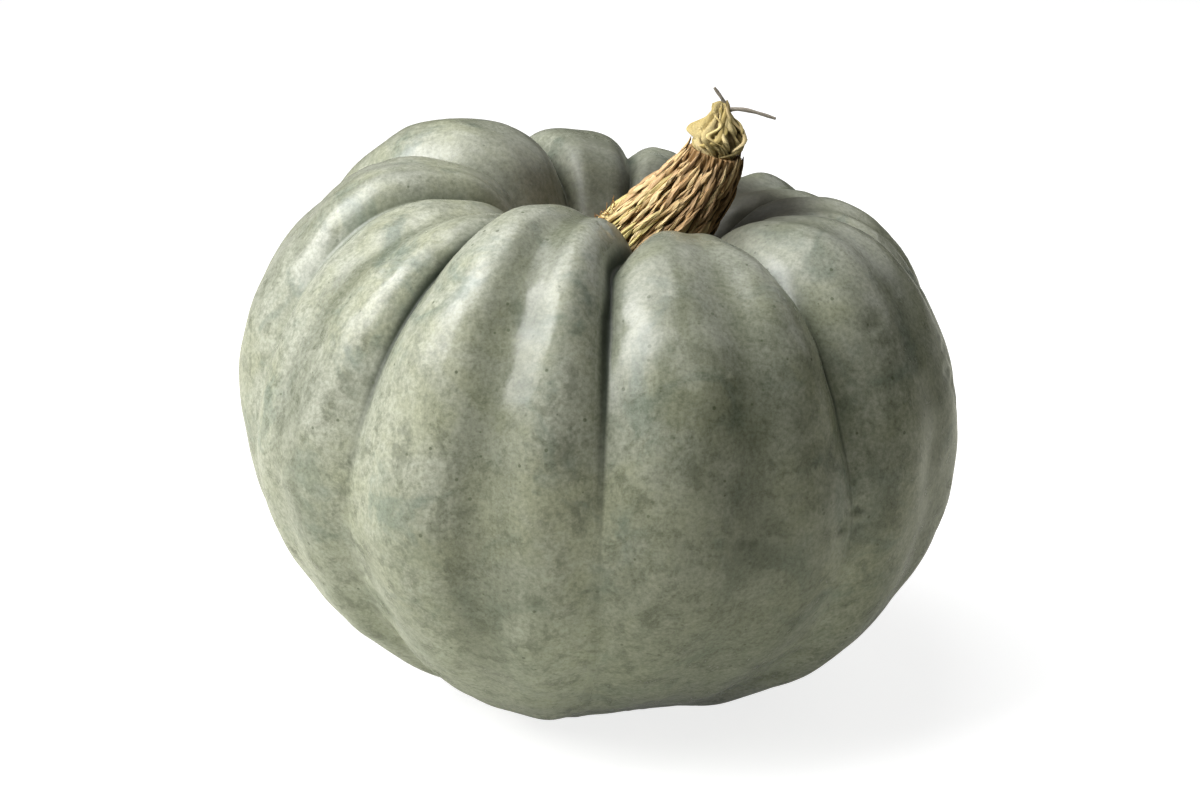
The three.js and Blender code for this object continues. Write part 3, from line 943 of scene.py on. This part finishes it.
def hair_points(draw):
    """Thin tubes off the bark: out by a reach that grows with t squared, up by a climb that grows with t."""
    each = (HAIRS, 1, 1)
    t = np.linspace(0, 1, HAIR_RINGS)[None, :, None]
    turn = np.linspace(0, 2 * np.pi, HAIR_SIDES, endpoint=False)[None, None]
    size = draw.uniform(0.2, 0.36, each) * (1 - 0.7 * t)
    start = draw.uniform(24, 35, each)
    climb = draw.uniform(-1.5, 5, each)
    reach = draw.uniform(1, 3.2, each)
    swing = draw.normal(0, 0.1, each)
    climb[0], reach[0], start[0], swing[0] = UPRIGHT_HAIR
    distance = start + climb * t + size * np.cos(turn)
    trunk = stalk_radius(start)
    around = draw.normal(-1.5, 0.3, each) + swing * t + size * np.sin(turn) / trunk
    radius = trunk + 0.3 + reach * t**2 + size * np.sin(turn)
    return round_path(stem_path, STEM_STEPS, distance, around, radius), t + 0 * distance, turn + 0 * distance


draw = np.random.default_rng(HAIR_SEED)
hairs, hair_along, hair_turn = hair_points(draw)
hair_tone = draw.uniform(0, 1, (HAIRS, 1, 1))
hair_values = {
    "tone": np.broadcast_to(hair_tone, hair_along.shape),
    "along": 6 * MM * hair_along,
    "across": MM * np.sin(hair_turn),
    "crack_dirt_and_shade": 0.5 - 0.5 * hair_along,
}
tube_piece("root_hairs", hairs * MM, hair_finish, hair_values)

# %% [markdown]
# ## Stem: the torn end
# Where the stem snapped off the vine, the pale fibre core is left as a crumpled knot, drawn in at the top.
# It is a bulb of rounded lumps between sharp creases, with thick cords of fibre wound round it and a loop of
# fibre at its neck. Lumps with sharp creases are what the absolute value of smooth noise looks like.

# %% Shape the core of the torn end
END_AXIS = [(44, 0, 209), (46.5, 0, 218.1), (45.6, 0, 228)]
END_RADII = [8.6, 10.2, 10.5, 8.8, 5.6, 3.5, 2.4]
END_RINGS = 120
END_SIDES = 160
END_SEED = 3
END_BODY = 0.66
END_LUMPS = 0.19
BULGE_HEIGHT = 1.4
BULGE_AROUND = 4.9
BULGE_UP = 0.05

end_path = evenly(bezier(END_AXIS, np.linspace(0, 1, 100)), 100)
END_LENGTH = float(np.linalg.norm(np.diff(end_path, axis=0), axis=1).sum())
END_STEPS = np.linspace(0, END_LENGTH, 100)
FIBRE_DARK = tint(0.11, 0.072, 0.02)
FIBRE_TONES = [
    (0.0, tint(0.42, 0.34, 0.115)),
    (0.4, tint(0.67, 0.55, 0.235)),
    (0.75, tint(0.82, 0.71, 0.38)),
    (1.0, tint(0.77, 0.59, 0.37)),
]
fibre = dry_finish("torn_fibre", FIBRE_TONES, FIBRE_DARK, 0.62, 0.00025)


def end_radius(share):
    """The knot's outline: a bulb that narrows to a neck."""
    return np.interp(share, np.linspace(0, 1, len(END_RADII)), END_RADII)


def end_core_points():
    """A crumpled bulb: rings up the axis, with lumps from the absolute value of noise that winds upwards."""
    share = np.linspace(-0.15, 1, END_RINGS)[:, None]
    around = np.linspace(0, 2 * np.pi, END_SIDES, endpoint=False)[None]
    wound = around + 1.2 * share + 0.3 * np.sin(4 * share)
    height = 0.6 * END_LENGTH * share + 0 * wound
    place = np.stack([END_RADII[2] * np.cos(wound), END_RADII[2] * np.sin(wound), height], -1)
    lumps = np.abs(smooth_noise(place, 9, END_SEED)) + 0.5 * np.abs(smooth_noise(place, 4.5, END_SEED + 1))
    bulge = BULGE_HEIGHT * np.exp(-((around - BULGE_AROUND) ** 2) / 0.4 - ((share - BULGE_UP) / 0.14) ** 2)
    radius = end_radius(share) * (END_BODY + END_LUMPS * lumps) + bulge
    distance = share * END_LENGTH + 0 * radius
    around = around + 0 * radius
    points = round_path(end_path, END_STEPS, np.maximum(distance, 0), around, radius)
    points = points + np.minimum(distance, 0)[..., None] * end_way
    tone = 0.52 + 0.16 * smooth_noise(place, 16, END_SEED + 2) + 0.2 * bulge
    # The creases between the lumps darken: partly dirt, partly painted shade.
    return points, distance, around * radius, 1 - rising(lumps, 0.25, 1.1), np.clip(tone, 0.05, 0.9)


core, core_up, core_across, core_dirt_and_shade, core_tone = end_core_points()
core_values = {
    "tone": core_tone[None],
    "along": core_up[None] * MM,
    "across": core_across[None] * MM,
    "crack_dirt_and_shade": 0.95 * core_dirt_and_shade[None],
}
torn_core = tube_piece("torn_core", core[None] * MM, fibre, core_values)
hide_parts("stem_end")

# %% Wind the cords of fibre round it
STRAPS = 13
STRAP_RINGS = 26
STRAP_SIDES = 10
STRAP_SEED = 41
GOLDEN_ANGLE = 2.399963


def strap_points(draw):
    """Thick twisting cords from the rim to the neck: each climbs round the knot on the bulb's own radius.

    Its cross-section is an ellipse that turns about its middle line as it climbs, and its width swells and
    shrinks with a slow wave, so that cords fold over one another.
    """
    each = (STRAPS, 1, 1)
    t = np.linspace(0, 1, STRAP_RINGS)[None, :, None]
    turn = np.linspace(0, 2 * np.pi, STRAP_SIDES, endpoint=False)[None, None]
    start = draw.uniform(-0.12, 0.2, each)
    end = draw.uniform(0.62, 1.06, each)
    share = between(start, end, t)
    first = (np.arange(STRAPS) * GOLDEN_ANGLE).reshape(each)
    around = first + draw.normal(0.3, 1.3, each) * t + 0.34 * np.sin(8 * t + draw.uniform(0, 6.3, each))
    taper = np.sqrt(np.clip(1 - (2 * t - 1) ** 6, 0.02, 1)) * (1 - 0.45 * t)
    wide = draw.uniform(1.1, 1.9, each) * taper * (1 + 0.25 * np.sin(9 * t + draw.uniform(0, 6.3, each)))
    thick = draw.uniform(0.8, 1.25, each) * taper
    roll = draw.normal(0, 0.3, each) + draw.normal(0, 0.6, each) * t
    sideways = wide * np.cos(turn) * np.cos(roll) - thick * np.sin(turn) * np.sin(roll)
    outwards = wide * np.cos(turn) * np.sin(roll) + thick * np.sin(turn) * np.cos(roll)
    trunk = end_radius(share) * draw.uniform(0.74, 0.97, each)
    radius = trunk + outwards + 0.5 * np.sin(11 * t + draw.uniform(0, 6.3, each))
    distance = share * END_LENGTH + 0 * turn
    on_path = np.clip(distance, 0, END_LENGTH)
    points = round_path(end_path, END_STEPS, on_path, around + sideways / trunk, radius)
    points = points + (distance - on_path)[..., None] * end_way
    # Each cord darkens on its inner side and where it lies deep: partly dirt, partly painted shade.
    crack_dirt_and_shade = 0.45 - 0.45 * np.sin(turn) + 0.15 * (1 - trunk / END_RADII[2]) + 0 * wide
    return points, distance, sideways, crack_dirt_and_shade


draw = np.random.default_rng(STRAP_SEED)
straps, strap_up, strap_across, strap_dirt_and_shade = strap_points(draw)
strap_tone = np.clip(draw.normal(0.55, 0.22, STRAPS), 0.02, 0.98)
strap_values = {
    "tone": np.broadcast_to(strap_tone[:, None, None], strap_up.shape),
    "along": strap_up * MM,
    "across": strap_across * MM,
    "crack_dirt_and_shade": strap_dirt_and_shade,
}
tube_piece("torn_straps", straps * MM, fibre, strap_values)

# %% [markdown]
# ## Stem: the loop at the neck and two dry strands
# A fold of fibre stands up at the neck as a narrow loop. Two grey strands of the vine's skin still hang on
# it: a short one stands up to the left and a longer one points to the right. Each is a flattened tube along a
# smooth curve, thinner towards its tip.

# %% Make the loop and the strands
NECK_LOOP = [(43.4, -1, 218.5), (42.2, -1.5, 230.5), (47.6, -1.5, 231.5), (47.4, -1, 219)]
STRANDS = [
    [(47.6, -0.4, 222), (48.4, -1, 227), (46.2, -1.5, 229.6), (43, -1.5, 234)],
    [(46.8, -0.6, 224), (49.5, -2, 227.6), (57, -2.5, 225.6), (66, -3, 222.5)],
]
NECK_LOOP_RADIUS = 1.1
NECK_LOOP_TONE = 0.3
STRAND_RINGS = 40
STRAND_SIDES = 12
STRAND_RADIUS = 0.8
STRAND_TONE = 0.55
STRAND_GREY = [(0.0, tint(0.24, 0.21, 0.17)), (1.0, tint(0.46, 0.43, 0.38))]
strand_finish = dry_finish("grey_strand", STRAND_GREY, tint(0.12, 0.1, 0.08), 0.6, 0.0002)


def strand_points(corners, radius):
    """A flattened tube along a curve: an ellipse across the curve's direction, thinner towards the tip."""
    path = evenly(bezier(corners, np.linspace(0, 1, 200)), STRAND_RINGS)
    way = np.gradient(path, axis=0)
    way /= np.linalg.norm(way, axis=1, keepdims=True)
    flat = np.cross(way, np.array([0.0, -1.0, 0.0]))
    flat /= np.linalg.norm(flat, axis=1, keepdims=True)
    deep = np.cross(flat, way)
    share = np.linspace(0, 1, STRAND_RINGS)[:, None]
    turn = np.linspace(0, 2 * np.pi, STRAND_SIDES, endpoint=False)[None]
    size = radius * (1.15 - 0.45 * share) * (1 + 0.1 * np.sin(17 * share + 2 * turn))
    sideways = (size * np.cos(turn))[..., None] * flat[:, None]
    return path[:, None] + sideways + (0.75 * size * np.sin(turn))[..., None] * deep[:, None], share, turn


def make_strand(name, corners, radius, finish, tone):
    """One strand as a piece, its tone lighter on the side towards the front, which is painted light."""
    strand, share, turn = strand_points(corners, radius)
    shape = (1, STRAND_RINGS, STRAND_SIDES)
    strand_values = {
        # Painted light: the side towards the front is lighter.
        "tone": np.broadcast_to(tone + 0.3 * np.sin(turn), shape),
        "along": np.broadcast_to(20 * share, shape) * MM,
        "across": np.broadcast_to(np.sin(turn), shape) * MM,
        "crack_dirt_and_shade": np.broadcast_to(0.5 - 0.5 * share, shape),
    }
    tube_piece(name, strand[None] * MM, finish, strand_values)


make_strand("neck_loop", NECK_LOOP, NECK_LOOP_RADIUS, fibre, NECK_LOOP_TONE)
for number, corners in enumerate(STRANDS, 1):
    make_strand(f"dry_strand_{number}", corners, STRAND_RADIUS, strand_finish, STRAND_TONE)
